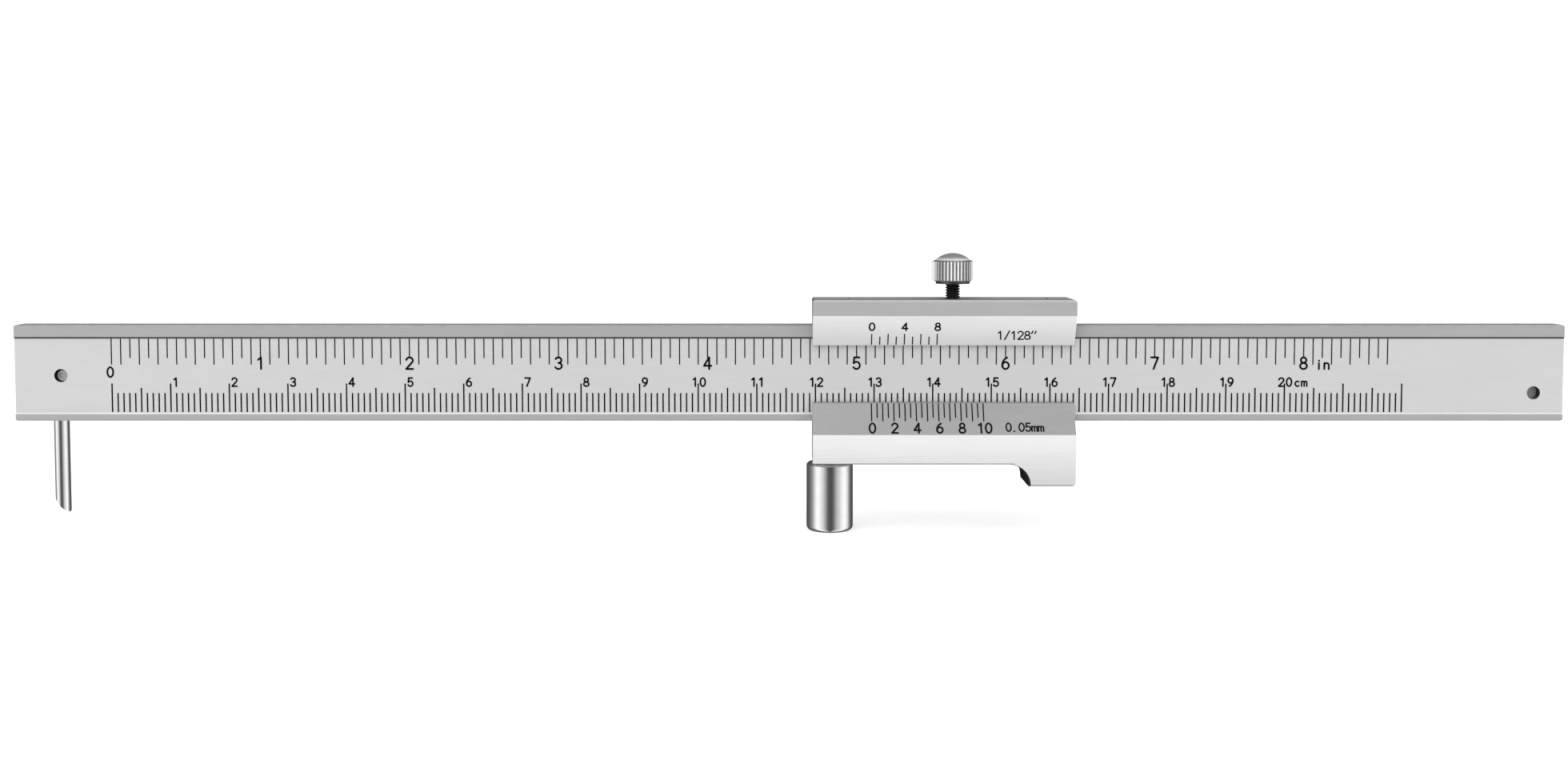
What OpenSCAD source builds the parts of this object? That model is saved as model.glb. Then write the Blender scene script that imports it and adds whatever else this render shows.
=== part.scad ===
// Parallel marking gauge: a graduated beam with a scriber at its left end, and a sliding head
// with two vernier lips, a lock screw and a guide roller that runs along the edge of the work.
// Millimetres. X runs along the beam, Y through its thickness with the graduated face at -Y,
// Z up. The origin is under the middle of the beam, level with the foot of the roller.

/* [Beam] */
// Length of the beam
beam_l = 264; // [240:1:330]
// Height of the beam
beam_h = 16.4; // [14:0.1:20]
// Thickness of the beam
beam_t = 4; // [3.6:0.1:5]
// Height of the raised slideway along the top edge of the face
way_top_h = 2.1; // [1:0.1:2.4]
// Height of the raised slideway along the bottom edge of the face
way_low_h = 1.2; // [0.8:0.1:2.4]
// Depth of the graduated face below the slideways
face_recess = 0.2; // [0.1:0.05:0.4]
// Bevel along the beam's outer edges
beam_bevel = 0.25; // [0.1:0.05:0.4]
// Distance from the beam's left end to the zero line of its scales
zero_inset = 16.5; // [14:0.5:20]

/* [Scriber] */
// Diameter of the scriber below the beam
scriber_d = 2.5; // [2.2:0.1:3]
// Length of the scriber below the beam
scriber_out = 15.9; // [10:0.1:18]
// Distance from the beam's left end to the scriber's axis
scriber_inset = 7; // [6:0.5:11]
// Diameter of the shank inside the beam
shank_d = 2; // [1.6:0.1:2.1]
// Length of the shank inside the beam
shank_l = 9.4; // [9.2:0.1:11]
// Depth of the flat that the clamp screw presses on
shank_flat = 0.45; // [0.3:0.05:0.6]
// Slope of the ground tip, from the horizontal, in degrees
tip_slope = 52; // [40:1:60]
// Turn of the ground tip about the scriber's axis, in degrees
tip_turn = 35; // [0:5:60]

/* [Scriber clamp screw] */
// Diameter of the clamp screw
clamp_d = 2.2; // [1.8:0.1:2.4]
// Depth of the clamp screw below the slideways
clamp_recess = 0.5; // [0.4:0.05:0.7]
// Height of the clamp screw's axis below the middle of the beam
clamp_drop = 0.45; // [0:0.05:0.6]
// Distance of the clamp screw's axis to the right of the scriber's
clamp_shift = 0.8; // [0:0.1:0.9]
// Width across the flats of the clamp screw's socket
clamp_key = 1; // [0.8:0.1:1.1]
// Depth of the clamp screw's socket
clamp_key_depth = 0.6; // [0.4:0.1:0.7]

/* [Stop pin] */
// Diameter of the stop pin
stop_d = 2.2; // [1.8:0.1:2.6]
// Diameter of the stop pin's head at the back of the beam
stop_head_d = 3.2; // [2.8:0.1:4]
// Thickness of the stop pin's head
stop_head_t = 1; // [0.8:0.1:1.4]
// Distance from the beam's right end to the stop pin's axis
stop_inset = 5; // [4:0.1:8]
// Distance of the stop pin's axis below the middle of the beam
stop_drop = 3.4; // [1:0.1:4]
// Depth of the stop pin's front end below the slideways
stop_recess = 1.6; // [0.5:0.1:2]

/* [Sliding head] */
// Reading of the head on the metric scale
reading = 129.5; // [20:0.5:170]
// Length of the head along the beam
head_l = 44.5; // [42:0.5:52]
// Distance from the head's left end to the zero line of its verniers
vernier_inset = 10; // [8:0.5:12]
// Thickness of the head in front of the beam
front_t = 3; // [2.4:0.1:4]
// Thickness of the head behind the beam
back_t = 3; // [2.4:0.1:4]
// Height of the head above the beam
head_rise = 4.4; // [4:0.1:6]
// Depth of the head below the beam
head_drop = 7; // [6.5:0.1:9]
// Overlap of the upper vernier lip on the beam's face
lip_top = 3.45; // [2.6:0.05:4]
// Overlap of the lower vernier lip on the beam's face
lip_low = 3.25; // [2.6:0.05:4]
// Thickness of both vernier lips at their reading edge
lip_edge_t = 0.35; // [0.25:0.05:0.5]
// Height of the upper vernier's slope
slope_top_h = 5.2; // [4.5:0.1:5.6]
// Height of the lower vernier's slope
slope_low_h = 5.25; // [4.5:0.05:6]
// Running gap between the head and the beam
slide_gap = 0.04; // [0.02:0.01:0.08]
// Bevel along the head's outer edges
head_bevel = 0.25; // [0.1:0.05:0.4]

/* [Thumb rest] */
// Length of the thumb rest along the beam
rest_l = 8; // [7:0.5:10]
// Depth of the thumb rest below the head
rest_drop = 3.75; // [3.6:0.05:5]
// Radius of the hollow on the thumb rest's inner side
rest_r = 3.4; // [2.8:0.1:3.5]
// Radius of the thumb rest's outer corner
rest_corner_r = 0.7; // [0.4:0.1:1]
// Number of grip grooves in the hollow
rest_grooves = 6; // [3:1:7]
// Diameter of each grip groove
rest_groove_d = 0.36; // [0.2:0.02:0.4]
// Distance from the head's front and back to the ends of the grip grooves
rest_groove_end = 0.8; // [0.5:0.1:2]

/* [Gib] */
// Thickness of the gib strip between the beam and the head
gib_t = 0.8; // [0.6:0.05:1]
// Distance from each end of the head to the gib strip
gib_end = 1; // [0.5:0.1:1.5]
// Diameter of the two gib adjusting screws
gib_screw_d = 3; // [2.5:0.1:3.2]
// Distance from each end of the head to an adjusting screw's axis
gib_screw_inset = 5.2; // [4.5:0.1:6.5]
// Depth of the adjusting screws below the top of the head
gib_screw_recess = 0.4; // [0.2:0.05:0.6]
// Diameter of the point of each adjusting screw, which sits in the gib strip
gib_point_d = 1.4; // [1:0.1:1.8]
// Width of the screwdriver slot in each adjusting screw
gib_slot_w = 0.5; // [0.4:0.05:0.7]
// Depth of the screwdriver slot in each adjusting screw
gib_slot_depth = 0.7; // [0.5:0.1:1]

/* [Lock screw] */
// Diameter of the lock screw's threaded stud
stud_d = 2.5; // [2:0.1:3]
// Distance from the head's left end to the lock screw's axis
stud_inset = 24; // [20:0.5:27]
// Length of thread that shows between the head and the knob
stud_out = 2.6; // [1:0.1:5]
// Depth of the blind hole in the knob that takes the stud
stud_in_knob = 3; // [2:0.1:3.4]
// Diameter of the knob
knob_d = 7.2; // [6.6:0.1:9]
// Height of the knob's grooved band
knob_h = 3.6; // [3:0.1:5]
// Number of grooves round the knob
knob_grooves = 36; // [24:1:48]
// Depth of the knob's grooves
knob_groove_depth = 0.26; // [0.15:0.01:0.35]
// Bevel at both ends of the grooved band
knob_bevel = 0.2; // [0.1:0.05:0.25]
// Diameter of the collar under the knob
collar_d = 5.8; // [4.5:0.1:5.9]
// Height of the collar under the knob
collar_h = 0.4; // [0.2:0.1:0.8]
// Diameter of the polished dome on the knob
dome_d = 6; // [5:0.1:6]
// Height of the dome on the knob
dome_h = 1.2; // [0.6:0.1:1.6]

/* [Guide roller] */
// Diameter of the roller
roller_d = 8; // [7.4:0.1:9]
// Length of the roller
roller_l = 11.65; // [9:0.05:14]
// Distance from the head's left end to the roller's axis
roller_inset = 3; // [2.9:0.1:5]
// Radius of the roller's rounded lower edge
roller_foot_r = 0.8; // [0.3:0.1:1]
// Bevel of the roller's upper edge
roller_top_bevel = 0.3; // [0.1:0.1:0.6]
// Running gap round the axle and at both ends of the roller
spin_gap = 0.05; // [0.03:0.01:0.08]
// Diameter of the axle screw's plain shoulder, on which the roller turns
axle_d = 3; // [2.8:0.1:3.4]
// Diameter of the axle screw's thread in the head
axle_thread_d = 2.4; // [2:0.1:2.6]
// Length of the axle screw's thread in the head
axle_thread_l = 4.8; // [3.5:0.1:5.4]
// Diameter of the axle screw's head
axle_head_d = 5; // [4.4:0.1:5.4]
// Height of the axle screw's head
axle_head_h = 1.8; // [1.4:0.1:2.4]
// Distance from the roller's foot up to the axle screw's head
axle_head_recess = 0.7; // [0.3:0.1:1.2]
// Width across the flats of the axle screw's socket
axle_key = 2; // [1.5:0.1:2.5]
// Depth of the axle screw's socket
axle_key_depth = 1; // [0.7:0.1:1.2]
// Room round the axle screw's head in the roller
axle_head_gap = 0.3; // [0.2:0.05:0.4]
// Diameter of the thrust washer above the roller
washer_d = 5; // [4.4:0.1:6]
// Thickness of the thrust washer
washer_t = 0.3; // [0.2:0.05:0.5]

/* [Hidden] */

$fn = 96;
cut = 1;              // how far a cutting shape runs past the face it cuts
thread_gap = 0.03;    // radial gap between a screw and its tapped hole
seat_gap = 0.05;      // gap at a face that a screw's point bears on
hole_end = 0.3;       // room past the end of a screw or shank in its blind hole
crown_flat = 0.01;    // height that the flat on the dome's crown takes off its ball
core_step = 0.05;     // how far the knob's core stays inside its grooves
point_gap = 0.1;      // radial gap between an adjusting screw's point and the gib strip
gib_side_gap = 0.1;   // gap on each side of the gib strip in the head's channel

// Heights, from the foot of the roller up
washer_z = roller_l + spin_gap;
head_low = washer_z + washer_t;
rest_low = head_low - rest_drop;
beam_low = head_low + head_drop;
beam_mid = beam_low + beam_h / 2;
beam_top = beam_low + beam_h;
gib_z = beam_top + slide_gap;
gib_top = gib_z + gib_t;
channel_top = gib_top + seat_gap;
head_top = beam_top + head_rise;
collar_z = head_top + stud_out;
knob_z = collar_z + collar_h;
dome_z = knob_z + knob_h;

// Places along the beam
beam_left = -beam_l / 2;
beam_right = beam_l / 2;
zero_x = beam_left + zero_inset;
scriber_x = beam_left + scriber_inset;
clamp_x = scriber_x + clamp_shift;
stop_x = beam_right - stop_inset;
head_left = zero_x + reading - vernier_inset;
head_right = head_left + head_l;
rest_left = head_right - rest_l;
stud_x = head_left + stud_inset;
roller_x = head_left + roller_inset;
gib_screw_xs = [head_left + gib_screw_inset, head_right - gib_screw_inset];

// Planes across the thickness
beam_front = -beam_t / 2;
beam_back = beam_t / 2;
channel_front = beam_front - slide_gap;
channel_back = beam_back + slide_gap;
head_front = beam_front - front_t;
head_back = beam_back + back_t;
head_mid = (head_front + head_back) / 2;
lip_face = channel_front - lip_edge_t;

// A (Y, Z) outline drawn out along X from x0 to x1
module along_x(x0, x1)
    translate([x0, 0, 0]) rotate([90, 0, 90]) linear_extrude(x1 - x0) children();

// An (X, Z) outline drawn out along Y from y0 to y1
module along_y(y0, y1)
    translate([0, y1, 0]) rotate([90, 0, 0]) linear_extrude(y1 - y0) children();

// A cylinder along Z from z0 to z1
module post(x, y, z0, z1, d)
    translate([x, y, z0]) cylinder(h = z1 - z0, d = d);

// A cylinder along Y from y0 to y1
module cross_post(x, z, y0, y1, d)
    translate([x, y1, z]) rotate([90, 0, 0]) cylinder(h = y1 - y0, d = d);

// A rectangle between two corners, with all four corners bevelled
module bevelled(u0, v0, u1, v1, b)
    polygon([[u0 + b, v0], [u1 - b, v0], [u1, v0 + b], [u1, v1 - b],
        [u1 - b, v1], [u0 + b, v1], [u0, v1 - b], [u0, v0 + b]]);

// What a rounded corner removes: the corner is at the origin and the part lies at +X, +Y
module corner_waste(r)
    difference() {
        translate([-cut, -cut]) square(r + cut);
        translate([r, r]) circle(r);
    }

// A hexagonal socket along Z, its mouth at z = 0, opening upwards
module hex_socket(across_flats, depth)
    translate([0, 0, -depth]) cylinder(h = depth + cut, d = across_flats / cos(30), $fn = 6);

// The beam

module beam_section() {
    face_low = beam_low + way_low_h;
    face_top = beam_top - way_top_h;
    difference() {
        bevelled(beam_front, beam_low, beam_back, beam_top, beam_bevel);
        translate([beam_front - cut, face_low]) square([cut + face_recess, face_top - face_low]);
    }
}

module beam()
    color("silver")
    difference() {
        intersection() {
            along_x(beam_left, beam_right) beam_section();
            along_y(beam_front - cut, beam_back + cut)
                bevelled(beam_left, beam_low, beam_right, beam_top, beam_bevel);
        }
        post(scriber_x, 0, beam_low - cut, beam_low + shank_l + hole_end, shank_d + 2 * thread_gap);
        cross_post(clamp_x, beam_mid - clamp_drop, beam_front - cut, 0, clamp_d + 2 * thread_gap);
        cross_post(stop_x, beam_mid - stop_drop, beam_front - cut, beam_back + cut,
            stop_d + 2 * thread_gap);
    }

// The scriber and the screw that clamps it

module scriber()
    color("gainsboro")
    difference() {
        union() {
            post(scriber_x, 0, beam_low, beam_low + shank_l, shank_d);
            post(scriber_x, 0, beam_low - scriber_out, beam_low, scriber_d);
        }
        // The ground tip leaves its point at the side that faces the roller
        translate([scriber_x, 0, beam_low - scriber_out]) rotate([0, 0, tip_turn])
            translate([scriber_d / 2, 0, 0]) rotate([0, tip_slope, 0])
                translate([-3 * scriber_d, -scriber_d, -3 * scriber_d])
                    cube([3 * scriber_d, 2 * scriber_d, 3 * scriber_d]);
        // The flat under the clamp screw
        translate([scriber_x - shank_d, -shank_d, beam_mid - clamp_drop - clamp_d / 2 - hole_end])
            cube([2 * shank_d, shank_d / 2 + shank_flat, shank_l]);
    }

module scriber_clamp_screw() {
    screw_front = beam_front + clamp_recess;
    screw_tip = -shank_d / 2 + shank_flat - seat_gap;
    color("dimgray")
    difference() {
        cross_post(clamp_x, beam_mid - clamp_drop, screw_front, screw_tip, clamp_d);
        translate([clamp_x, screw_front, beam_mid - clamp_drop]) rotate([90, 0, 0])
            hex_socket(clamp_key, clamp_key_depth);
    }
}

// The pin that keeps the head from sliding off the beam

module stop_pin()
    color("dimgray")
    union() {
        cross_post(stop_x, beam_mid - stop_drop, beam_front + stop_recess, beam_back, stop_d);
        cross_post(stop_x, beam_mid - stop_drop, beam_back, beam_back + stop_head_t, stop_head_d);
    }

// The sliding head

// The outline across the head: a channel round the beam, open in front between two lips
module head_section() {
    upper_edge = beam_top - lip_top;
    lower_edge = beam_low + lip_low;
    upper_ridge = upper_edge + slope_top_h;
    lower_ridge = lower_edge - slope_low_h;
    difference() {
        bevelled(head_front, rest_low, head_back, head_top, head_bevel);
        // The channel that the beam runs in
        translate([channel_front, beam_low - slide_gap])
            square([channel_back - channel_front, channel_top - beam_low + slide_gap]);
        // The reading window between the lips
        translate([head_front - cut, lower_edge])
            square([channel_front - head_front + 2 * cut, upper_edge - lower_edge]);
        // The slopes that carry the two verniers
        polygon([[lip_face, upper_edge], [lip_face, lower_edge], [head_front, lower_ridge],
            [head_front - cut, lower_ridge], [head_front - cut, upper_ridge],
            [head_front, upper_ridge]]);
    }
}

// The outline of the head from the front: a bar with the thumb rest at its right end
module head_side() {
    hollow = [rest_left - rest_r, head_low - rest_r];
    difference() {
        bevelled(head_left, rest_low, head_right, head_top, head_bevel);
        translate([head_left - cut, rest_low - cut])
            square([hollow[0] - head_left + cut, rest_drop + cut]);
        translate([hollow[0] - cut, rest_low - cut])
            square([rest_r + cut, rest_drop + cut - rest_r]);
        translate(hollow) circle(rest_r);
        translate([head_right, rest_low]) mirror([1, 0]) corner_waste(rest_corner_r);
    }
}

// Grip grooves spread evenly round the lower half of the thumb rest's hollow, short of both faces
module grip_grooves()
    for (i = [1 : rest_grooves])
        along_y(head_front + rest_groove_end, head_back - rest_groove_end)
            translate([rest_left - rest_r, head_low - rest_r])
                rotate(i * 60 / rest_grooves) translate([rest_r, 0])
                    circle(d = rest_groove_d, $fn = 24);

module slider_frame()
    color("lightgray")
    difference() {
        intersection() {
            along_x(head_left, head_right) head_section();
            along_y(head_front, head_back) head_side();
        }
        grip_grooves();
        post(stud_x, 0, gib_top, head_top + cut, stud_d + 2 * thread_gap);
        for (x = gib_screw_xs)
            post(x, 0, gib_top, head_top + cut, gib_screw_d + 2 * thread_gap);
        post(roller_x, head_mid, head_low - cut, head_low + axle_thread_l + hole_end,
            axle_thread_d + 2 * thread_gap);
    }

// The gib strip and its two adjusting screws

module gib_strip()
    color("darkgoldenrod")
    difference() {
        along_x(head_left + gib_end, head_right - gib_end)
            translate([channel_front + gib_side_gap, gib_z])
                square([channel_back - channel_front - 2 * gib_side_gap, gib_t]);
        for (x = gib_screw_xs)
            post(x, 0, gib_z - cut, gib_top + cut, gib_point_d + 2 * point_gap);
    }

module gib_screws() {
    screw_top = head_top - gib_screw_recess;
    color("dimgray")
    for (x = gib_screw_xs)
        difference() {
            union() {
                post(x, 0, channel_top, screw_top, gib_screw_d);
                post(x, 0, gib_z + gib_t / 4, channel_top, gib_point_d);
            }
            translate([x - gib_screw_d, -gib_slot_w / 2, screw_top - gib_slot_depth])
                cube([2 * gib_screw_d, gib_slot_w, gib_slot_depth + cut]);
        }
}

// The lock screw: a threaded stud in a grooved knob

module lock_stud()
    color("dimgray")
    post(stud_x, 0, gib_top + seat_gap, collar_z + stud_in_knob - hole_end, stud_d);

// A ring of V grooves, as a star with its points on the knob's rim
module grooved_disc() {
    rim = knob_d / 2;
    polygon([for (i = [0 : 2 * knob_grooves - 1])
        let (r = i % 2 == 0 ? rim : rim - knob_groove_depth)
        r * [cos(180 * i / knob_grooves), sin(180 * i / knob_grooves)]]);
}

// The dome is part of a ball, with its crown polished very slightly flat
module knob_dome() {
    ball_h = dome_h + crown_flat;
    ball_r = (pow(dome_d / 2, 2) + pow(ball_h, 2)) / (2 * ball_h);
    translate([stud_x, 0, dome_z]) rotate_extrude()
        intersection() {
            translate([0, ball_h - ball_r]) circle(ball_r, $fn = 192);
            square([dome_d / 2, dome_h]);
        }
}

// The grooved band, on a core that stays just inside the grooves and is bevelled at both ends
module grooved_band() {
    core_r = knob_d / 2 - knob_groove_depth - core_step;
    translate([stud_x, 0, knob_z + knob_bevel])
        linear_extrude(knob_h - 2 * knob_bevel) grooved_disc();
    translate([stud_x, 0, 0]) rotate_extrude()
        polygon([[0, knob_z], [core_r - knob_bevel, knob_z], [core_r, knob_z + knob_bevel],
            [core_r, dome_z - knob_bevel], [core_r - knob_bevel, dome_z], [0, dome_z]]);
}

module lock_knob()
    color("gainsboro")
    difference() {
        union() {
            grooved_band();
            knob_dome();
            post(stud_x, 0, collar_z, knob_z, collar_d);
        }
        post(stud_x, 0, collar_z - cut, collar_z + stud_in_knob, stud_d + 2 * thread_gap);
    }

// The guide roller, its axle screw and its thrust washer

module roller_outline() {
    difference() {
        square([roller_d / 2, roller_l]);
        translate([roller_d / 2, 0]) mirror([1, 0]) corner_waste(roller_foot_r);
        translate([roller_d / 2, roller_l]) rotate(45)
            square(roller_top_bevel * sqrt(2), center = true);
    }
}

module guide_roller() {
    head_seat = axle_head_recess + axle_head_h + spin_gap;
    color("gainsboro")
    translate([roller_x, head_mid, 0])
    difference() {
        rotate_extrude() roller_outline();
        post(0, 0, -cut, roller_l + cut, axle_d + 2 * spin_gap);
        post(0, 0, -cut, head_seat, axle_head_d + 2 * axle_head_gap);
    }
}

module roller_axle()
    color("dimgray")
    translate([roller_x, head_mid, 0])
    difference() {
        union() {
            post(0, 0, axle_head_recess, axle_head_recess + axle_head_h, axle_head_d);
            post(0, 0, axle_head_recess + axle_head_h, washer_z, axle_d);
            post(0, 0, washer_z, head_low + axle_thread_l, axle_thread_d);
        }
        translate([0, 0, axle_head_recess]) mirror([0, 0, 1]) hex_socket(axle_key, axle_key_depth);
    }

module thrust_washer()
    color("darkgray")
    translate([roller_x, head_mid, 0])
    difference() {
        post(0, 0, washer_z, head_low, washer_d);
        post(0, 0, washer_z - cut, head_low + cut, axle_thread_d + 2 * thread_gap);
    }

beam();
scriber();
scriber_clamp_screw();
stop_pin();
slider_frame();
gib_strip();
gib_screws();
lock_stud();
lock_knob();
guide_roller();
roller_axle();
thrust_washer();
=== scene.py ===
"""Parallel marking gauge: finishes, scale marks, screw thread, light and camera.

Lengths are in millimetres until MM is applied, and tones go from 0, black, to 1, white.
"""

import math

import bmesh
import bpy
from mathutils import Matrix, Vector


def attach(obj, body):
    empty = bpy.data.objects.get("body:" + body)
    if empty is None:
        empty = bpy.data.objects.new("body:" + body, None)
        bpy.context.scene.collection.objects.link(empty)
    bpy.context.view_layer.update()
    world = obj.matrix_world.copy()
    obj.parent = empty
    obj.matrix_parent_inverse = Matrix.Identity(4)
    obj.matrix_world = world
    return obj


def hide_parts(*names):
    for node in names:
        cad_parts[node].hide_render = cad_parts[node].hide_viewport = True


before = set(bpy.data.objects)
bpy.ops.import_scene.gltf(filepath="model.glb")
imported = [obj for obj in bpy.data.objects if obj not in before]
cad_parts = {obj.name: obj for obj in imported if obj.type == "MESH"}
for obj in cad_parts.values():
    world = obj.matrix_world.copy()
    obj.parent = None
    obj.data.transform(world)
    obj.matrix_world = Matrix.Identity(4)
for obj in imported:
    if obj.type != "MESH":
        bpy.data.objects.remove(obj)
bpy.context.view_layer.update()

MM = 0.001
WHITE = (1.0, 1.0, 1.0, 1.0)

# Beam and its graduated face
FACE_Y = -1.8
FACE_Z = (20.2, 33.3)
MARKS_Z = 27.0  # height that the marks on the face are measured from
SCALE_ZERO_X = -115.5
INCH = 25.4

# Head and its two vernier slopes
VERNIER_ZERO_X = 14.0
LIP_Y = -2.39
HEAD_FRONT_Y = -5.0
UPPER_LIP_Z = 31.95
UPPER_RIDGE_Z = 37.15
LOWER_LIP_Z = 22.25
LOWER_RIDGE_Z = 17.0
HEAD_LOW_Z = 12.0
HEAD_FOOT_Z = 8.25

# Lock screw: its stud, and the thread's profile in shares of its depth
STUD_X = 28.0
STUD_Z = (36.29, 45.1)
STUD_R = 1.25
THREAD_DEPTH = 0.26
THREAD_PITCH = 0.45
THREAD_CREST = 1.25  # over 1, so that the crest is cut flat
THREAD_FLANK = 2.9  # fall on each side of the crest, per pitch

# Scriber and its ground tip, whose slope and turn about the scriber's axis are in degrees
SCRIBER_X = -125.0
SCRIBER_R = 1.25
SCRIBER_LOW_Z = 3.1
TIP_TOP_Z = 7.0
TIP_SLOPE = 48.0
TIP_TURN = -15.0
SHARP_EDGE = 30.0
SAME_PLACE = 0.001  # vertices nearer than this are one

# Bores in the beam's face: axis (x, z) and radius
CLAMP_BORE = (-124.2, 26.75, 1.16)
STOP_BORE = (127.0, 23.8, 1.16)
# Bare part of the clamp screw's end, set right of the bore's axis so that the painted shade round
# it is a crescent on its left, and how far back its socket's floor is
CLAMP_DISC = (-123.92, 26.75, 0.88)
SOCKET_Y = -0.9
# Hollow of the thumb rest: axis (x, z) and radius
REST_HOLLOW = (37.1, 8.6, 3.4)
# Knob on the lock screw
COLLAR_TOP_Z = 42.8
DOME_FOOT_Z = 46.4
KNOB_CORE_R = 3.42

# Lettering: how far up the surface its foot is, its height, and the width of its strokes
INCH_DIGITS = (0.72, 2.31, 0.34)
INCH_UNIT = (0.72, 2.0, 0.32)
INCH_ZERO = (-0.64, 1.98, 0.32)
CM_DIGITS = (-2.21, 1.69, 0.29)
CM_UNIT = (-2.21, 1.69, 0.28)
UPPER_DIGITS = (2.85, 1.72, 0.29)
UPPER_UNIT = (1.12, 1.8, 0.24)
LOWER_DIGITS = (0.23, 2.0, 0.32)
LOWER_UNIT = (0.56, 1.67, 0.26)
SIGN_SPACING = 1.22  # step from one sign to the next, in widths of its cell

# How far the marks stand out of the steel, and how thick their paint is
MARK_LIFT = 0.02
MARK_PAINT = 0.03

# Camera, fitted to the photograph
CAMERA_PLACE = (-0.8685, -280.0, 56.5)
CAMERA_TILT = 3.0
CAMERA_LENS = 37.61
CAMERA_SHIFT = -0.0671
CAMERA_NEAR = 10.0

# Soft boxes and floor
KEY_PLACE = (-280.0, -400.0, 660.0)
KEY_POWER = 2.6
FILL_PLACE = (500.0, -250.0, 500.0)
FILL_POWER = 1.4
LIGHT_AIM = (0.0, 0.0, 20.0)
LIGHT_SIZE = 600.0
FLOOR_HALF = 4000.0

# What the steel mirrors: degrees from the front, below zero to the left, and the tone there
STUDIO_SIDES = [
    (-180, 0.06), (-150, 0.065), (-135, 0.085), (-120, 0.13), (-108, 0.19), (-96, 0.31),
    (-86, 0.5), (-77, 0.82), (-66, 1.0), (-52, 0.93), (-42, 0.75), (-30, 0.53),
    (-20, 0.3), (-12, 0.13), (-5, 0.08), (4, 0.07), (12, 0.075), (18, 0.14),
    (26, 0.31), (36, 0.48), (48, 0.64), (60, 0.84), (70, 0.97), (80, 1.0),
    (90, 0.85), (100, 0.58), (110, 0.31), (120, 0.14), (132, 0.08), (180, 0.06),
]
MIRRORED_LIGHT = 1.06


# Materials: a few short calls over Blender's nodes


class Nodes:
    """Short calls that add nodes to one tree."""

    def __init__(self, tree):
        self.tree = tree

    def node(self, kind, *inputs):
        """Adds a node and feeds its first inputs."""
        node = self.tree.nodes.new(kind)
        for value, socket in zip(inputs, node.inputs):
            self.feed(value, socket)
        return node

    def feed(self, value, socket):
        """Links an output to the socket, or sets a plain number or colour on it."""
        if isinstance(value, bpy.types.NodeSocket):
            self.tree.links.new(value, socket)
        else:
            socket.default_value = value

    def math(self, operation, a, b=0.0):
        node = self.node("ShaderNodeMath", a, b)
        node.operation = operation
        return node.outputs[0]

    def product(self, *factors):
        """The product of masks, tones or numbers."""
        total = factors[0]
        for factor in factors[1:]:
            total = self.math("MULTIPLY", total, factor)
        return total


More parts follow.
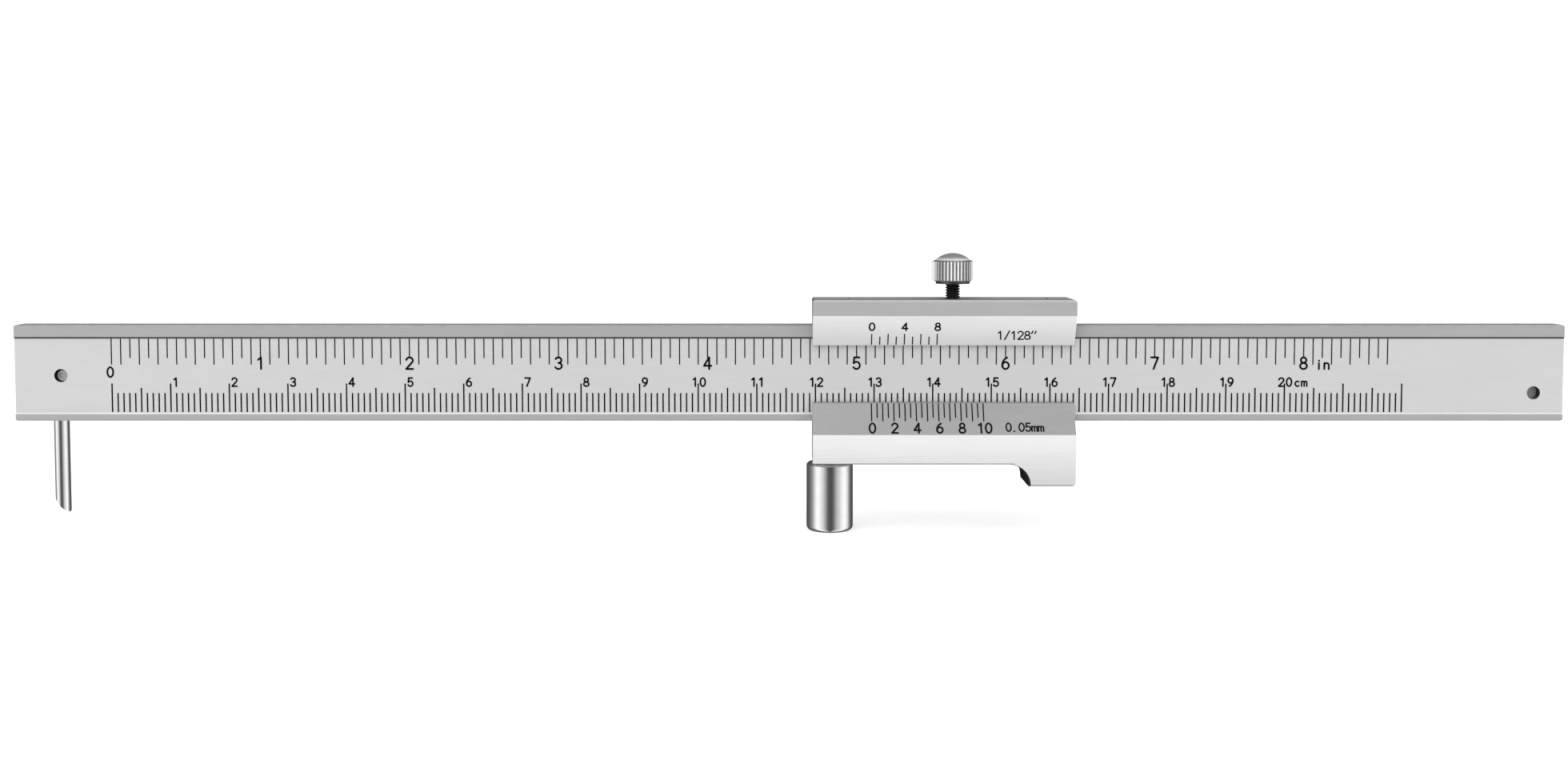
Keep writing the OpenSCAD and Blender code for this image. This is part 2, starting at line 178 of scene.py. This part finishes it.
class Finish(Nodes):
    """One material: its shader, and calls for masks, noise and what the shader shows."""

    def __init__(self, name, **settings):
        self.material = bpy.data.materials.new(name)
        self.material.use_nodes = True
        super().__init__(self.material.node_tree)
        self.shader = self.tree.nodes["Principled BSDF"]
        for socket, value in settings.items():
            self.shader.inputs[socket.replace("_", " ")].default_value = value
        self.coords = self.node("ShaderNodeTexCoord")
        place = self.node("ShaderNodeSeparateXYZ", self.coords.outputs["Object"])
        facing = self.node("ShaderNodeSeparateXYZ", self.coords.outputs["Normal"])
        self.x, self.y, self.z = place.outputs
        self.facing_x, self.facing_y, self.facing_z = facing.outputs

    def spread(self, value, low, high, to_low=0.0, to_high=1.0):
        """Maps low..high to to_low..to_high, smoothly and no further."""
        node = self.node("ShaderNodeMapRange", value, low, high, to_low, to_high)
        node.interpolation_type = "SMOOTHSTEP"
        return node.outputs["Result"]

    def under(self, value, full, none):
        """1 where value is under full, and 0 where it is over none."""
        return self.spread(value, full, none, 1.0, 0.0)

    def within(self, value, low, high, soft):
        """1 where value is between low and high, and 0 elsewhere."""
        above = self.spread(value, low - soft, low + soft)
        return self.product(above, self.under(value, high - soft, high + soft))

    # The same three for a value in metres and limits in millimetres

    def spread_mm(self, value, low, high, to_low=0.0, to_high=1.0):
        return self.spread(value, low * MM, high * MM, to_low, to_high)

    def under_mm(self, value, full, none):
        return self.under(value, full * MM, none * MM)

    def within_mm(self, value, low, high, soft):
        return self.within(value, low * MM, high * MM, soft * MM)

    def reach(self, along, across, centre):
        """Distance from an axis through centre = (along, across), in metres."""
        a = self.math("SUBTRACT", along, centre[0] * MM)
        b = self.math("SUBTRACT", across, centre[1] * MM)
        squares = self.math("ADD", self.product(a, a), self.product(b, b))
        return self.math("SQRT", squares)

    def bevels(self):
        """1 on faces that lean between the axes, such as bevelled edges."""
        facings = (self.facing_x, self.facing_y, self.facing_z)
        x, y, z = [self.math("ABSOLUTE", facing) for facing in facings]
        largest = self.math("MAXIMUM", self.math("MAXIMUM", x, y), z)
        return self.within(largest, 0.5, 0.8, 0.03)

    def noise(self, size, detail=3.0):
        """Noise whose spots are size = (x, y, z) millimetres large."""
        mapping = self.node("ShaderNodeMapping", self.coords.outputs["Object"])
        mapping.inputs["Scale"].default_value = [1 / (s * MM) for s in size]
        noise = self.node("ShaderNodeTexNoise", mapping.outputs["Vector"])
        noise.inputs["Scale"].default_value = 1.0
        noise.inputs["Detail"].default_value = detail
        noise.inputs["Roughness"].default_value = 0.6
        return noise.outputs["Fac"]

    def vary(self, noise, low, high):
        """A value that goes from low to high with the noise."""
        return self.spread(noise, 0.2, 0.8, low, high)

    def mix(self, factor, a, b):
        """Between numbers or outputs a and b."""
        node = self.node("ShaderNodeMix")
        self.feed(factor, node.inputs[0])
        self.feed(a, node.inputs[2])
        self.feed(b, node.inputs[3])
        return node.outputs[0]

    def patched(self, tone, *patches):
        """The tone with patches = (mask, tone) laid over it, each over the ones before."""
        for mask, patch in patches:
            tone = self.mix(mask, tone, patch)
        return tone

    def grey(self, tone, tint=(1.0, 1.0, 1.0)):
        """The base colour, from a tone."""
        shares = [self.product(tone, share) for share in tint]
        colour = self.node("ShaderNodeCombineColor", *shares)
        self.feed(colour.outputs[0], self.shader.inputs["Base Color"])

    def metal(self, value):
        self.feed(value, self.shader.inputs["Metallic"])

    def roughness(self, value):
        self.feed(value, self.shader.inputs["Roughness"])

    def bump(self, height, depth):
        """Relief from a height of 0 to 1, depth millimetres deep."""
        node = self.node("ShaderNodeBump")
        node.inputs["Distance"].default_value = depth * MM
        self.feed(height, node.inputs["Height"])
        self.feed(node.outputs[0], self.shader.inputs["Normal"])


def worn(f, tone, grain, cloud):
    """Last touches on ground steel: painted shade on faces that look up, streaks, a coarser back,
    clouds and wear.
    """
    top = f.spread(f.facing_z, 0.85, 0.95)
    back = f.spread(f.facing_y, 0.3, 0.7)
    wear = f.product(f.bevels(), f.spread(f.noise((1.5, 1.5, 1.5), 4.0), 0.35, 0.65), 0.1)
    coarse = f.spread(f.noise((30.0, 0.3, 0.3), 4.0), 0.3, 0.7, 0.86, 1.14)
    scratches = f.product(f.spread(f.noise((5.0, 0.05, 0.4), 2.0), 0.70, 0.76), 0.12)
    # Painted shade: faces that look up are laid over at 0.3; the bright patches on the bevels are
    # wear.
    tone = f.patched(tone, (top, 0.3), (wear, 0.75))
    tone = f.product(
        tone,
        f.vary(grain, 0.965, 1.035),
        f.mix(back, 1.0, coarse),
        f.vary(cloud, 0.985, 1.015),
    )
    return f.patched(tone, (scratches, 1.0))


def beam_finish():
    """Satin graduated face on darker slideways, with a painted shadow along its top and a painted
    highlight along its foot.
    """
    f = Finish("satin_steel", Metallic=0.25)
    slideways = 0.39
    grain = f.noise((14.0, 0.12, 0.12))
    cloud = f.noise((9.0, 6.0, 6.0), 4.0)
    foot, top = FACE_Z
    front = f.under(f.facing_y, -0.9, -0.5)
    face = f.product(f.within_mm(f.z, foot, top, 0.03), front)
    # Painted shadow under the upper slideway's step, and a painted highlight where the face meets
    # the lower slideway.
    painted_step_shadow = f.product(f.within_mm(f.z, top - 0.22, top + 0.06, 0.03), front)
    painted_step_highlight = f.product(f.within_mm(f.z, foot - 0.05, foot + 0.2, 0.03), front)
    # Painted shade on the bevels that face up.
    upper_bevels_painted_shade = f.product(f.bevels(), f.within(f.facing_z, 0.5, 0.9, 0.05))
    tone = f.patched(
        slideways,
        (face, 0.6),
        (painted_step_shadow, 0.04),
        (painted_step_highlight, 0.92),
        (upper_bevels_painted_shade, 0.26),
    )
    # Painted shade: the walls of both bores are made near black.
    wall = f.under(f.math("ABSOLUTE", f.facing_y), 0.4, 0.6)
    for x, z, radius in (CLAMP_BORE, STOP_BORE):
        near = f.under_mm(f.reach(f.x, f.z, (x, z)), radius, radius + 0.05)
        tone = f.patched(tone, (f.product(near, wall), 0.015))
    f.grey(worn(f, tone, grain, cloud))
    f.roughness(f.spread(grain, 0.25, 0.75, 0.36, 0.48))
    f.bump(grain, 0.004)
    return f.material


def head_finish():
    """Satin upper slope and lower front with painted light, darker bands, painted shade on lips
    and edges, and the thumb hollow painted black as its shade.
    """
    f = Finish("head_steel")
    bands = 0.42
    grain = f.noise((12.0, 0.12, 0.12))
    cloud = f.noise((7.0, 5.0, 5.0), 4.0)
    front = f.under(f.facing_y, -0.7, -0.3)
    upper_slope = f.within_mm(f.z, UPPER_LIP_Z, UPPER_RIDGE_Z, 0.02)
    lower_slope = f.within_mm(f.z, LOWER_RIDGE_Z, LOWER_LIP_Z, 0.02)
    lower_front = f.under_mm(f.z, LOWER_RIDGE_Z - 0.02, LOWER_RIDGE_Z + 0.02)
    # Painted shade: dark lines along both lips, where the head meets the beam, the lower one near
    # black.
    upper_lip = f.within_mm(f.z, UPPER_LIP_Z - 0.1, UPPER_LIP_Z + 0.1, 0.03)
    lower_lip = f.within_mm(f.z, LOWER_LIP_Z - 0.1, LOWER_LIP_Z + 0.1, 0.03)
    tone = f.patched(
        bands,
        # Painted light: the upper slope and the lower front grow lighter towards their top edges.
        (f.product(upper_slope, front), f.spread_mm(f.z, UPPER_LIP_Z, UPPER_RIDGE_Z, 0.69, 0.84)),
        (f.product(lower_slope, front), 0.31),
        (f.product(lower_front, front), f.spread_mm(f.z, HEAD_FOOT_Z, LOWER_RIDGE_Z, 0.66, 0.85)),
        (f.product(upper_lip, front), 0.5),
        (f.product(lower_lip, front), 0.12),
    )
    tone = worn(f, tone, grain, cloud)

    # Painted shade on the bevels that face down and on those that face left.
    lower_bevels_painted_shade = f.product(f.bevels(), f.within(f.facing_z, -0.9, -0.5, 0.05))
    left_bevels_painted_shade = f.product(f.bevels(), f.within(f.facing_x, -0.9, -0.5, 0.05))
    # Painted shade: the thumb hollow near black, a crescent round its front rim, and a dark line
    # along the head's foot left of it.
    x, z, radius = REST_HOLLOW
    low = f.under_mm(f.z, HEAD_LOW_Z - 0.05, HEAD_LOW_Z - 0.01)
    wall = f.under_mm(f.reach(f.x, f.z, (x, z)), radius + 0.3, radius + 0.35)
    hollow = f.product(wall, low, f.under(f.math("ABSOLUTE", f.facing_y), 0.3, 0.5))
    rim = f.under_mm(f.reach(f.x, f.z, (x + 0.2, z - 0.2)), radius + 0.17, radius + 0.22)
    painted_foot_shadow = f.within_mm(f.z, HEAD_LOW_Z, HEAD_LOW_Z + 0.14, 0.02)
    left_of_hollow = f.under_mm(f.x, x + 0.8, x + 1.3)
    tone = f.patched(
        tone,
        (lower_bevels_painted_shade, 0.36),
        (left_bevels_painted_shade, 0.16),
        (hollow, 0.008),
        (f.product(rim, low, front), 0.02),
        (f.product(painted_foot_shadow, front, left_of_hollow), 0.12),
    )
    f.grey(tone)
    # Full metal in the hollow, so that its painted black shade shows no shine.
    f.metal(f.mix(hollow, 0.25, 1.0))
    f.roughness(f.spread(grain, 0.25, 0.75, 0.34, 0.46))
    f.bump(grain, 0.004)
    return f.material


def knob_finish():
    """Bright knob with painted shade in its grooves, a satin dome with painted light, bright at
    its foot and darker at its top, and a dark collar.
    """
    f = Finish("knob_steel", Metallic=0.65)
    collar = 0.1
    spots = f.noise((0.6, 0.6, 0.6), 4.0)
    r = f.reach(f.x, f.y, (STUD_X, 0.0))
    # Painted shade: the grooves' floors are darker than the ridges.
    groove_painted_shade = f.spread_mm(r, KNOB_CORE_R - 0.02, KNOB_CORE_R + 0.12, 0.25, 1.0)
    over_collar = f.spread_mm(f.z, COLLAR_TOP_Z, COLLAR_TOP_Z + 0.03)
    dome = f.spread_mm(f.z, DOME_FOOT_Z - 0.02, DOME_FOOT_Z + 0.02)
    # Painted light: the dome is bright at its foot and darker towards its top.
    dome_painted_light = f.spread_mm(f.z, DOME_FOOT_Z + 0.1, DOME_FOOT_Z + 0.6, 0.95, 0.42)
    tone = f.patched(collar, (over_collar, groove_painted_shade), (dome, dome_painted_light))
    f.grey(f.product(tone, f.vary(spots, 0.92, 1.06)))
    f.roughness(f.mix(dome, f.vary(spots, 0.12, 0.22), 0.38))
    f.bump(spots, 0.002)
    return f.material


def polished_finish():
    """Bright turned steel with faint rings round its axis."""
    f = Finish("polished_steel", Metallic=1.0)
    rings = f.noise((4.0, 4.0, 0.08))
    cloud = f.noise((2.5, 2.5, 2.5), 4.0)
    f.grey(f.vary(cloud, 0.9, 0.98))
    f.roughness(f.spread(rings, 0.25, 0.75, 0.09, 0.2))
    f.bump(rings, 0.001)
    return f.material


def screw_finish():
    """Plain bright screw steel, a little duller than the polished pieces."""
    f = Finish("screw_steel", Metallic=1.0)
    spots = f.noise((0.5, 0.5, 0.5), 4.0)
    f.grey(f.vary(spots, 0.55, 0.72))
    f.roughness(f.vary(spots, 0.25, 0.42))
    f.bump(spots, 0.002)
    return f.material


def sunk_finish(name, shade, disc=None):
    """A dull screw or pin end.

    With a bare disc = (x, z, radius), it has a socket, and painted shade, near black, round the
    disc where the end sits in its bore.
    """
    f = Finish(name, Metallic=0.5)
    # Painted shade, near black, round the bare disc.
    painted_bore_shade = 0.004
    spots = f.noise((0.4, 0.4, 0.4), 4.0)
    tone = f.vary(spots, 0.9 * shade, 1.1 * shade)
    if disc:
        x, z, radius = disc
        socket = f.spread_mm(f.y, SOCKET_Y - 0.2, SOCKET_Y, 1.0, 1.7)
        bare = f.under_mm(f.reach(f.x, f.z, (x, z)), radius, radius + 0.06)
        tone = f.patched(painted_bore_shade, (bare, f.product(tone, socket)))
    f.grey(tone)
    f.roughness(f.vary(spots, 0.45, 0.6))
    f.bump(spots, 0.003)
    return f.material


def black_finish():
    """Blackened steel, rubbed a little on its high spots."""
    f = Finish("blackened_steel", Metallic=0.85)
    spots = f.noise((0.35, 0.35, 0.35), 5.0)
    f.grey(f.spread(spots, 0.35, 0.8, 0.025, 0.075))
    f.roughness(f.vary(spots, 0.38, 0.55))
    f.bump(spots, 0.003)
    return f.material


def mark_finish():
    """Black paint in the engraved marks."""
    f = Finish("mark_paint", Metallic=0.0, Specular_IOR_Level=0.08)
    specks = f.noise((0.12, 0.12, 0.12), 4.0)
    f.grey(f.spread(specks, 0.3, 0.8, 0.003, 0.012))
    f.roughness(f.spread(specks, 0.3, 0.8, 0.6, 0.8))
    f.bump(specks, 0.003)
    return f.material


def bronze_finish():
    """The gib strip's bronze."""
    f = Finish("gib_bronze", Metallic=1.0)
    grain = f.noise((8.0, 0.15, 0.15))
    f.grey(f.vary(grain, 0.62, 0.75), (1.0, 0.72, 0.42))
    f.roughness(f.spread(grain, 0.25, 0.75, 0.3, 0.45))
    f.bump(grain, 0.003)
    return f.material


def dress(material, *nodes):
    """Gives CAD nodes their material."""
    for name in nodes:
        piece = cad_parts[name]
        if not piece.material_slots:
            piece.data.materials.append(material)
        for held in piece.material_slots:
            held.material = material


# Objects


def new_object(name, data):
    """Puts a mesh, lamp or camera into the scene."""
    made = bpy.data.objects.new(name, data)
    bpy.context.scene.collection.objects.link(made)
    return made


def new_piece(name, shape, material):
    """Turns a finished bmesh into an object with its material."""
    mesh = bpy.data.meshes.new(name)
    shape.to_mesh(mesh)
    shape.free()
    mesh.materials.append(material)
    return new_object(name, mesh)


# Marks


class Surface:
    """A flat face at the front that marks lie on: (x, s), with s measured up it from its foot."""

    def __init__(self, foot_y, foot_z, top_y, top_z):
        across = Vector((1.0, 0.0, 0.0))
        self.foot = Vector((0.0, foot_y, foot_z))
        self.up = (Vector((0.0, top_y, top_z)) - self.foot).normalized()
        self.out = across.cross(self.up)

    def point(self, x, s):
        return (self.foot + Vector((x, 0.0, 0.0)) + self.up * s + self.out * MARK_LIFT) * MM


BEAM_FACE = Surface(FACE_Y, MARKS_Z, FACE_Y, FACE_Z[1])
UPPER_SLOPE = Surface(LIP_Y, UPPER_LIP_Z, HEAD_FRONT_Y, UPPER_RIDGE_Z)
LOWER_SLOPE = Surface(HEAD_FRONT_Y, LOWER_RIDGE_Z, LIP_Y, LOWER_LIP_Z)


def arc(cx, cy, rx, ry, start, end, steps=16):
    """Points of an elliptic arc, from start to end in degrees."""
    angles = [math.radians(start + (end - start) * i / steps) for i in range(steps + 1)]
    return [(cx + rx * math.cos(a), cy + ry * math.sin(a)) for a in angles]


# Width of each sign's cell, which is one unit high, and the sign's strokes in it. A sharp corner
# is where one stroke ends and the next one starts. "q" is the sign for inches.
GLYPHS = {
    "0": (0.54, [arc(0.27, 0.5, 0.25, 0.5, 0, 360, 28)]),
    "1": (0.54, [[(0.1, 0.8), (0.3, 1.0)], [(0.3, 1.0), (0.3, 0.0)]]),
    "2": (
        0.54,
        [arc(0.27, 0.74, 0.24, 0.26, 170, -35) + [(0.02, 0.0)], [(0.02, 0.0), (0.52, 0.0)]],
    ),
    "3": (0.54, [arc(0.26, 0.76, 0.22, 0.24, 155, -90), arc(0.26, 0.26, 0.25, 0.26, 90, -155)]),
    "4": (
        0.56,
        [[(0.4, 0.0), (0.4, 1.0)], [(0.4, 1.0), (0.02, 0.28)], [(0.02, 0.28), (0.55, 0.28)]],
    ),
    "5": (
        0.54,
        [
            [(0.48, 1.0), (0.1, 1.0)],
            [(0.1, 1.0), (0.06, 0.52)],
            arc(0.26, 0.31, 0.25, 0.31, 143, -150),
        ],
    ),
    "6": (0.54, [arc(0.27, 0.3, 0.24, 0.3, 0, 360, 24), arc(0.5, 0.3, 0.47, 0.7, 180, 105)]),
    "7": (0.54, [[(0.02, 1.0), (0.52, 1.0)], [(0.52, 1.0), (0.2, 0.0)]]),
    "8": (
        0.54,
        [arc(0.27, 0.765, 0.2, 0.235, 0, 360, 20), arc(0.27, 0.26, 0.25, 0.26, 0, 360, 24)],
    ),
    "9": (0.54, [arc(0.27, 0.7, 0.24, 0.3, 0, 360, 24), arc(0.04, 0.7, 0.47, 0.7, 0, -75)]),
    "/": (0.54, [[(0.04, -0.05), (0.5, 1.05)]]),
    ".": (0.54, [[(0.14, 0.0), (0.2, 0.0)]]),
    "q": (
        0.6,
        [[(0.16, 1.03), (0.17, 0.93), (0.05, 0.74)], [(0.46, 1.03), (0.47, 0.93), (0.35, 0.74)]],
    ),
    "c": (0.5, [arc(0.25, 0.3, 0.22, 0.3, 50, 310)]),
    "i": (0.3, [[(0.14, 0.0), (0.14, 0.6)], [(0.14, 0.84), (0.14, 0.87)]]),
    "n": (
        0.5,
        [[(0.05, 0.0), (0.05, 0.6)], arc(0.24, 0.38, 0.19, 0.22, 180, 0, 12) + [(0.43, 0.0)]],
    ),
    "m": (
        0.6,
        [
            [(0.02, 0.0), (0.02, 0.6)],
            arc(0.15, 0.44, 0.13, 0.16, 180, 0, 10) + [(0.28, 0.0)],
            arc(0.41, 0.44, 0.13, 0.16, 180, 0, 10) + [(0.54, 0.0)],
        ],
    ),
}


class Marks:
    """Strips of paint on one surface, gathered into one mesh."""

    def __init__(self, surface):
        self.surface = surface
        self.shape = bmesh.new()

    def corner(self, x, s):
        return self.shape.verts.new(self.surface.point(x, s))

    def tick(self, x, low, high, width):
        half = width / 2
        corners = [(x - half, low), (x + half, low), (x + half, high), (x - half, high)]
        self.shape.faces.new([self.corner(*corner) for corner in corners])

    def stroke(self, points, width):
        """A ribbon of even width along the points, with round ends unless it is closed."""
        half = width / 2
        closed = math.dist(points[0], points[-1]) < 1e-6
        if closed:
            points = points[:-1]
        last = len(points) - 1
        ways, rows = [], []
        for i, (x, s) in enumerate(points):
            before = points[i - 1] if i or closed else points[i]
            after = points[(i + 1) % len(points)] if i < last or closed else points[i]
            way = Vector((after[0] - before[0], after[1] - before[1])).normalized() * half
            ways.append(way)
            rows.append((self.corner(x - way.y, s + way.x), self.corner(x + way.y, s - way.x)))
        next_rows = rows[1:] + rows[:1] if closed else rows[1:]
        for (left, right), (next_left, next_right) in zip(rows, next_rows):
            self.shape.faces.new((right, next_right, next_left, left))
        if not closed:
            start, end = ways[0], ways[-1]
            self.cap(points[0], rows[0], math.atan2(start.x, -start.y), half)
            self.cap(points[-1], rows[-1][::-1], math.atan2(-end.x, end.y), half)

    def cap(self, centre, ends, turn, half):
        """A round end from ends[0] to ends[1], half a turn on from the angle turn."""
        x, s = centre
        turns = [turn + math.pi * i / 6 for i in range(1, 6)]
        rim = [self.corner(x + half * math.cos(t), s + half * math.sin(t)) for t in turns]
        self.shape.faces.new([ends[0], *rim, ends[1]])

    def text(self, words, x, lettering, advance=None, centred=True, lean=0.0):
        """Writes signs centred on x or starting there, leaning to the right by lean.

        The step to the next sign is advance, or comes from the width of the sign's cell.
        """
        foot, height, width = lettering
        rise = height - width
        steps = [advance or GLYPHS[sign][0] * height * SIGN_SPACING for sign in words]
        if centred:
            x -= sum(steps) / 2
        for sign, step in zip(words, steps):
            cell, strokes = GLYPHS[sign]
            left = x + (step - cell * height) / 2
            for line in strokes:
                points = [
                    (left + px * height + py * rise * lean, foot + width / 2 + py * rise)
                    for px, py in line
                ]
                self.stroke(points, width)
            x += step

    def finish(self, name, body, material):
        """Makes the marks one piece that rides on the body."""
        bmesh.ops.recalc_face_normals(self.shape, faces=self.shape.faces)
        for face in self.shape.faces:
            if face.normal.dot(self.surface.out) < 0:
                face.normal_flip()
        piece = new_piece(name, self.shape, material)
        paint = piece.modifiers.new("paint", "SOLIDIFY")
        paint.thickness = MARK_PAINT * MM
        paint.offset = -1.0
        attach(piece, body)


def inch_scale(paint):
    """Sixteenths along the upper edge, each whole inch numbered."""
    top, long_foot, short_foot, width = 6.07, 1.63, 2.76, 0.2
    marks = Marks(BEAM_FACE)
    for i in range(138):
        foot = long_foot if i == 0 or i % 2 else short_foot
        marks.tick(SCALE_ZERO_X + i * INCH / 16, foot, top, width)
    for inch in range(1, 9):
        marks.text(str(inch), SCALE_ZERO_X + inch * INCH, INCH_DIGITS)
    unit_x = SCALE_ZERO_X + 8 * INCH + 2.0
    marks.text("in", unit_x, INCH_UNIT, advance=1.3, centred=False)
    marks.text("0", SCALE_ZERO_X - 0.25, INCH_ZERO)
    marks.finish("inch_scale", "beam", paint)


def metric_scale(paint):
    """Millimetres along the lower edge, each centimetre numbered."""
    foot, cm_top, half_top, mm_top, width = -6.5, -1.6, -2.33, -3.23, 0.25
    marks = Marks(BEAM_FACE)
    for i in range(221):
        top = cm_top if i % 10 == 0 else half_top if i % 5 == 0 else mm_top
        marks.tick(SCALE_ZERO_X + i, foot, top, width)
    for cm in range(1, 21):
        # A single digit stands beside its tick, and a pair of them on it
        aside, advance = (0.9, None) if cm < 10 else (0.12, 1.32)
        marks.text(str(cm), SCALE_ZERO_X + cm * 10 + aside, CM_DIGITS, advance)
    marks.text("cm", SCALE_ZERO_X + 201.6, CM_UNIT, advance=1.2, centred=False)
    marks.finish("metric_scale", "beam", paint)


def upper_vernier(paint):
    """Eight divisions over seven sixteenths of an inch."""
    foot, long_top, short_top, width = 0.17, 2.31, 1.76, 0.2
    division = 7 * INCH / 16 / 8
    marks = Marks(UPPER_SLOPE)
    for i in range(9):
        top = short_top if i % 2 else long_top
        marks.tick(VERNIER_ZERO_X + i * division, foot, top, width)
    for i in (0, 4, 8):
        marks.text(str(i), VERNIER_ZERO_X + i * division, UPPER_DIGITS)
    marks.text("1/128q", 35.25, UPPER_UNIT, advance=1.15, centred=False, lean=-0.08)
    marks.finish("upper_vernier", "slider", paint)


def lower_vernier(paint):
    """Twenty divisions over nineteen millimetres."""
    top, long_foot, short_foot, width = 5.67, 2.44, 3.06, 0.21
    division = 19 / 20
    marks = Marks(LOWER_SLOPE)
    for i in range(21):
        foot = short_foot if i % 2 else long_foot
        marks.tick(VERNIER_ZERO_X + i * division, foot, top, width)
    for i in range(0, 21, 4):
        marks.text(str(i // 2), VERNIER_ZERO_X + i * division + 0.1, LOWER_DIGITS)
    marks.text("0.05mm", 36.6, LOWER_UNIT, advance=1.1, centred=False)
    marks.finish("lower_vernier", "slider", paint)


# Pieces with more shape than their solids


def ground_scriber(material):
    """The scriber with its tip ground on the left and a little on the back, for a round look."""
    shape = bmesh.new()
    shape.from_mesh(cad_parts["scriber"].data)
    bmesh.ops.remove_doubles(shape, verts=shape.verts, dist=SAME_PLACE * MM)
    turn = math.radians(TIP_TURN)
    slope = math.tan(math.radians(TIP_SLOPE))
    for vertex in shape.verts:
        x, y, z = vertex.co
        if z < TIP_TOP_Z * MM:
            toward_point = (x - SCRIBER_X * MM) * math.cos(turn) + y * math.sin(turn)
            vertex.co.z = SCRIBER_LOW_Z * MM + slope * (SCRIBER_R * MM - toward_point)
    shape.normal_update()
    for face in shape.faces:
        face.smooth = True
    for edge in shape.edges:
        edge.smooth = edge.calc_face_angle(0.0) < math.radians(SHARP_EDGE)
    piece = new_piece("scriber_needle", shape, material)
    piece.data.attributes.remove(piece.data.attributes["custom_normal"])
    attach(piece, "beam")
    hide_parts("scriber")


def lock_thread(material):
    """The stud with its real helical thread, inside the CAD stud's diameter."""
    around, rows_per_turn = 48, 12
    foot, top = STUD_Z
    rows = int((top - foot) / THREAD_PITCH * rows_per_turn) + 1
    shape = bmesh.new()
    rings = []
    for row in range(rows + 1):
        z = foot + (top - foot) * row / rows
        ring = []
        for step in range(around):
            turn = step / around
            phase = ((z - foot) / THREAD_PITCH - turn) % 1.0
            height = min(1.0, max(0.0, THREAD_CREST - abs(phase - 0.5) * THREAD_FLANK))
            r = STUD_R - THREAD_DEPTH * (1.0 - height)
            angle = 2 * math.pi * turn
            point = Vector((STUD_X + r * math.cos(angle), r * math.sin(angle), z))
            ring.append(shape.verts.new(point * MM))
        rings.append(ring)
    for low, high in zip(rings, rings[1:]):
        for i in range(around):
            j = (i + 1) % around
            shape.faces.new((low[i], low[j], high[j], high[i])).smooth = True
    shape.faces.new(rings[0][::-1])
    shape.faces.new(rings[-1])
    piece = new_piece("lock_thread", shape, material)
    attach(piece, "lock_screw")
    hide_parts("lock_stud")


# Stage


def floor():
    """Plain pale floor under the roller's foot, which keeps the shadow but isn't mirrored."""
    f = Finish("floor", Roughness=0.9, Emission_Color=WHITE)
    seen = f.node("ShaderNodeLightPath").outputs["Is Camera Ray"]
    shown = f.vary(f.noise((60.0, 60.0, 60.0)), 0.6, 0.62)
    f.grey(f.mix(seen, 0.9, shown))
    f.feed(f.product(seen, 0.44), f.shader.inputs["Emission Strength"])
    shape = bmesh.new()
    bmesh.ops.create_grid(shape, x_segments=4, y_segments=4, size=FLOOR_HALF * MM)
    ground = new_piece("floor", shape, f.material)
    ground.visible_glossy = False


def studio():
    """White for the camera, soft white light, and a studio's light and dark sides in the steel."""
    world = bpy.data.worlds.new("studio")
    bpy.context.scene.world = world
    world.use_nodes = True
    n = Nodes(world.node_tree)
    n.tree.nodes.clear()
    coords = n.node("ShaderNodeTexCoord")
    x, y, _ = n.node("ShaderNodeSeparateXYZ", coords.outputs["Generated"]).outputs
    azimuth = n.math("ARCTAN2", x, n.product(y, -1.0))
    turn = n.node("ShaderNodeMapRange", azimuth, -math.pi, math.pi)
    sides = n.node("ShaderNodeValToRGB", turn.outputs["Result"])
    stops = sides.color_ramp.elements
    while len(stops) < len(STUDIO_SIDES):
        stops.new(0.5)
    for stop, (degrees, tone) in zip(stops, STUDIO_SIDES):
        stop.position = degrees / 360.0 + 0.5
        stop.color = (tone, tone, tone, 1.0)
    white = n.node("ShaderNodeBackground", WHITE, 1.0).outputs[0]
    mirrored = n.node("ShaderNodeBackground", sides.outputs[0], MIRRORED_LIGHT).outputs[0]
    path = n.node("ShaderNodeLightPath").outputs
    lit = n.node("ShaderNodeMixShader", path["Is Glossy Ray"], white, mirrored)
    seen = n.node("ShaderNodeMixShader", path["Is Camera Ray"], lit.outputs[0], white)
    n.node("ShaderNodeOutputWorld", seen.outputs[0])


def soft_light(name, place, power):
    """A square soft box, turned to the gauge."""
    lamp = bpy.data.lights.new(name, "AREA")
    lamp.shape = "SQUARE"
    lamp.size = LIGHT_SIZE * MM
    lamp.energy = power
    box = new_object(name, lamp)
    box.location = Vector(place) * MM
    box.rotation_euler = (Vector(LIGHT_AIM) - Vector(place)).to_track_quat("-Z", "Y").to_euler()


def camera():
    data = bpy.data.cameras.new("camera")
    data.sensor_width = 36.0
    data.lens = CAMERA_LENS
    data.shift_y = CAMERA_SHIFT
    data.clip_start = CAMERA_NEAR * MM
    seen_from = new_object("camera", data)
    seen_from.location = Vector(CAMERA_PLACE) * MM
    seen_from.rotation_euler = (math.radians(90.0 - CAMERA_TILT), 0.0, 0.0)
    bpy.context.scene.camera = seen_from


def main():
    camera()
    polished = polished_finish()
    black = black_finish()
    paint = mark_finish()
    dress(beam_finish(), "beam")
    dress(head_finish(), "slider_frame")
    dress(polished, "guide_roller")
    dress(knob_finish(), "lock_knob")
    dress(screw_finish(), "roller_axle", "thrust_washer")
    dress(sunk_finish("clamp_steel", 0.4, CLAMP_DISC), "scriber_clamp_screw")
    dress(sunk_finish("pin_steel", 0.5), "stop_pin")
    dress(black, "gib_screws", "lock_stud")
    dress(bronze_finish(), "gib_strip")
    ground_scriber(polished)
    inch_scale(paint)
    metric_scale(paint)
    upper_vernier(paint)
    lower_vernier(paint)
    lock_thread(black)
    floor()
    studio()
    soft_light("key", KEY_PLACE, KEY_POWER)
    soft_light("fill", FILL_PLACE, FILL_POWER)
    bpy.context.scene.view_settings.view_transform = "Standard"


main()
